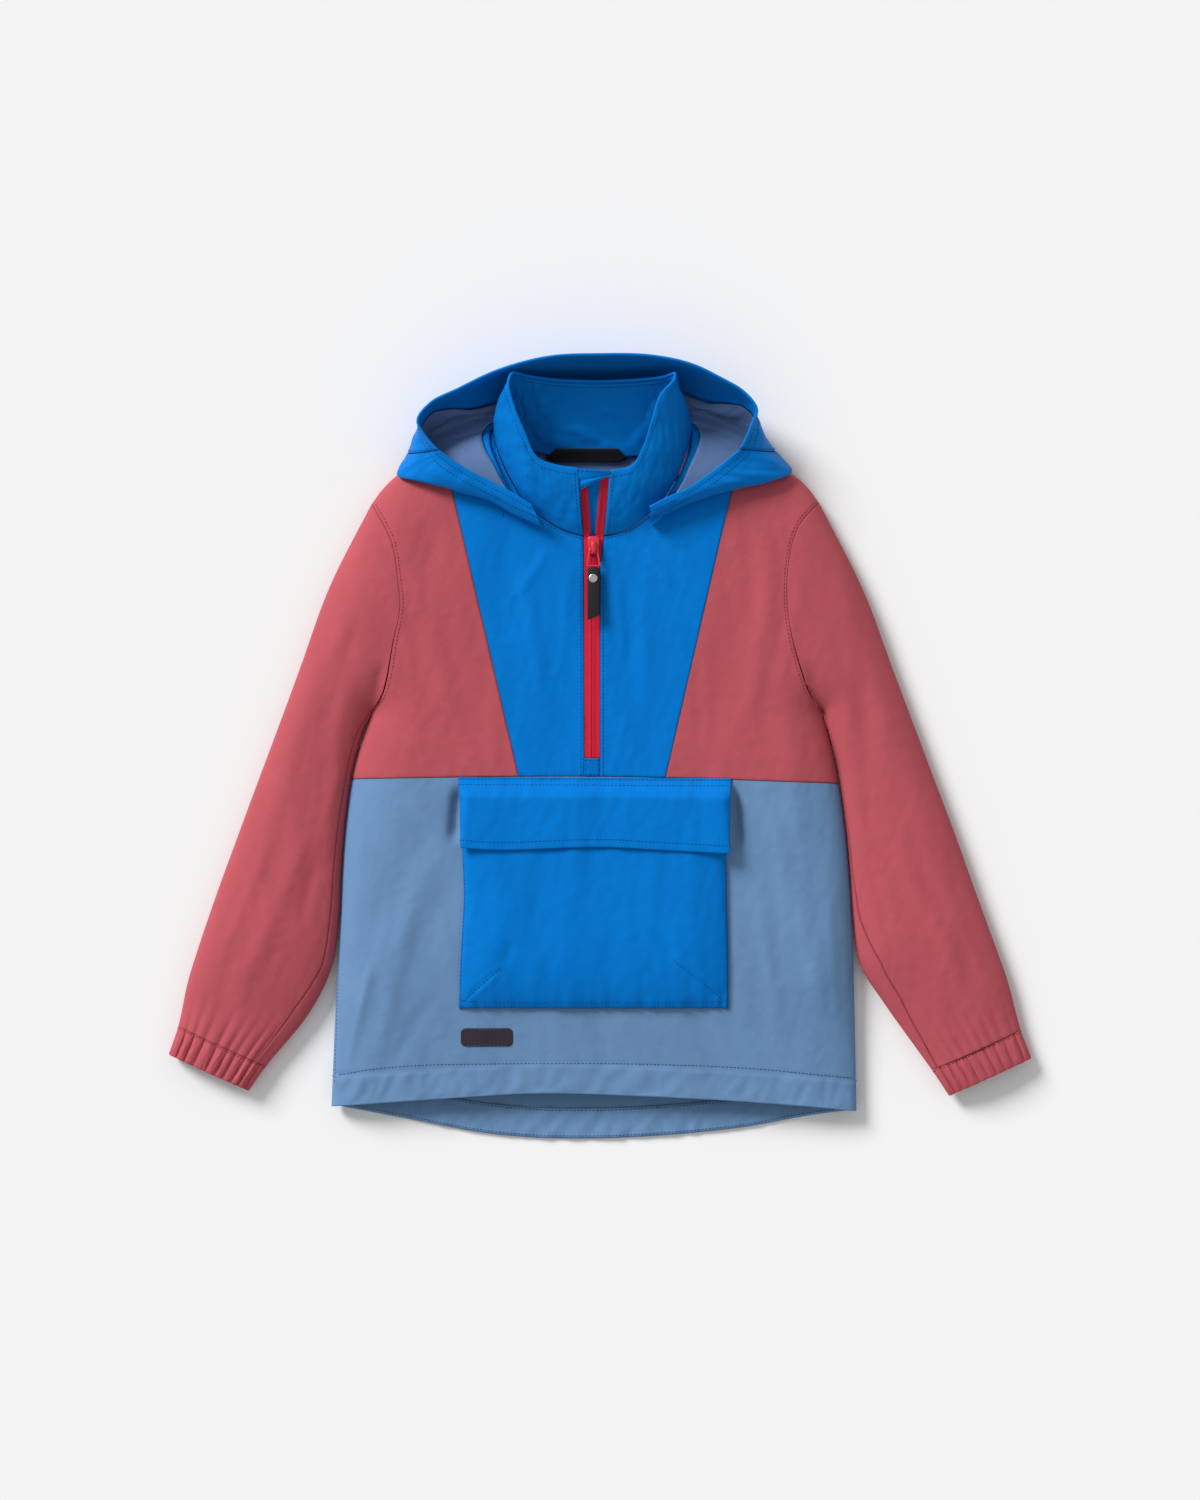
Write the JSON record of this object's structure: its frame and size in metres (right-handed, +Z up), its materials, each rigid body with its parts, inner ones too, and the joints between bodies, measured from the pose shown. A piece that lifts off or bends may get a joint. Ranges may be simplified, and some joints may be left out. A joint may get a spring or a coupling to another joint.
{
  "type": "anorak pullover",
  "caption": "Child's half-zip anorak pullover with a stand collar, detachable hood, kangaroo pocket with flap and gathered cuffs, laid flat with its front up.",
  "frame": {"origin": "middle of the garment on the surface that it lies on", "axes": "+X to the right as its front is seen, +Y from hem to hood, +Z up out of the front"},
  "size_m": [0.709, 0.6421, 0.0548],
  "materials": {
    "cloth_blue": "matt woven",
    "cloth_red": "matt woven",
    "cloth_slate": "matt woven",
    "lining_slate": "smooth woven",
    "zip_red": "woven tape with moulded coil",
    "slider_red": "satin enamel",
    "rubber_black": "matt",
    "badge_black": "matt",
    "metal_silver": "satin"
  },
  "bodies": {
    "garment": {"front_side_l": "cloth_red", "front_centre_l": "cloth_blue", "sleeve_top_l": "cloth_red", "sleeve_under_l": "cloth_red", "cuff_l": "cloth_red", "hood_side_l": "cloth_blue", "snap_l": "metal_silver", "zip_tape_l": "zip_red", "front_side_r": "cloth_red", "front_centre_r": "cloth_blue", "sleeve_top_r": "cloth_red", "sleeve_under_r": "cloth_red", "cuff_r": "cloth_red", "hood_side_r": "cloth_blue", "snap_r": "metal_silver", "zip_tape_r": "zip_red", "front_lower": "cloth_slate", "back_upper": "cloth_red", "back_lower": "cloth_slate", "back_hem_facing": "cloth_slate", "back_neck_lining": "lining_slate", "collar_outer": "cloth_blue", "collar_inner": "cloth_blue", "neck_label": "rubber_black", "hood_crown": "cloth_blue", "hood_facing": "cloth_blue", "hood_lining": "lining_slate", "wind_flap": "cloth_blue", "chin_guard": "cloth_blue", "zip_end_patch": "cloth_blue", "pocket_panel": "cloth_blue", "pocket_flap": "cloth_blue", "badge": "badge_black", "slider": "slider_red", "slider_bridge": "slider_red"},
    "pull": {"pull_link": "slider_red", "pull_tab": "rubber_black", "pull_rivet": "metal_silver"}
  },
  "joints": [
    {"name": "pull_swing", "type": "hinge", "parent": "garment", "child": "pull", "pos_m": [-0.0054, 0.1628, 0.03226], "axis": [-1, 0, 0], "range_deg": [0, 150]}
  ]
}
